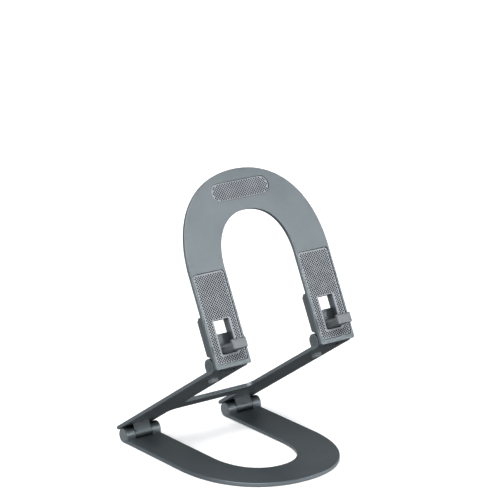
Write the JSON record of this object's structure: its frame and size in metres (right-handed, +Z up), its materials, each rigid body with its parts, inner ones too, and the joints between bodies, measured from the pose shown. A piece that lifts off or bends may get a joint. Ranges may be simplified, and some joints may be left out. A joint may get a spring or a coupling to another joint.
{
  "type": "tablet stand",
  "caption": "Folding tablet stand: rounded U-shaped base, H-shaped arm and reclined U-shaped cradle with fold-out hooks, joined in a Z by friction hinges.",
  "frame": {"origin": "middle of the stand's footprint, on the surface it rests on", "axes": "+Z up, -Y towards the user (the front of the base and the face of the cradle), X across"},
  "size_m": [0.1076, 0.1314, 0.1849],
  "materials": {
    "anodised_dark": "fine bead-blasted dark grey anodising, satin",
    "grey_rubber": "matt grey rubber",
    "grip_silicone": "matt grey silicone with a fine dimple pattern",
    "steel": "plain steel",
    "washer_polymer": "black low-friction polymer"
  },
  "bodies": {
    "base": {"base_plate": "anodised_dark", "base_feet": "grey_rubber", "lower_hinge_shafts": "steel", "lower_hinge_caps": "anodised_dark", "lower_friction_washers": "washer_polymer", "lower_disc_springs": "steel", "lower_lock_nuts": "steel"},
    "arm": {"arm_plate": "anodised_dark", "arm_hinge_blocks": "anodised_dark", "arm_block_screws": "steel", "arm_bumpers": "grey_rubber", "upper_hinge_shafts": "steel", "upper_hinge_caps": "anodised_dark", "upper_friction_washers": "washer_polymer", "upper_disc_springs": "steel", "upper_lock_nuts": "steel"},
    "cradle": {"cradle_plate": "anodised_dark", "cradle_hinge_blocks": "anodised_dark", "cradle_block_screws": "steel", "grip_pads": "grip_silicone", "top_grip_pad": "grip_silicone", "hook_pins": "steel", "hook_spring_washers": "steel"},
    "left_hook": {"left_hook": "anodised_dark", "left_hook_liner": "grip_silicone"},
    "right_hook": {"right_hook": "anodised_dark", "right_hook_liner": "grip_silicone"}
  },
  "joints": [
    {"name": "lower_hinge", "type": "hinge", "parent": "base", "child": "arm", "pos_m": [0, 0.05822, 0.00515], "axis": [1, 0, 0], "range_deg": [-50, 35.8]},
    {"name": "upper_hinge", "type": "hinge", "parent": "arm", "child": "cradle", "pos_m": [0, -0.03633, 0.07837], "axis": [1, 0, 0], "range_deg": [-96, 50]},
    {"name": "left_hook_fold", "type": "hinge", "parent": "cradle", "child": "left_hook", "pos_m": [-0.04055, -0.03583, 0.08778], "axis": [1, 0, 0], "range_deg": [-90, 0]},
    {"name": "right_hook_fold", "type": "hinge", "parent": "cradle", "child": "right_hook", "pos_m": [0.04055, -0.03583, 0.08778], "axis": [1, 0, 0], "range_deg": [-90, 0]}
  ]
}
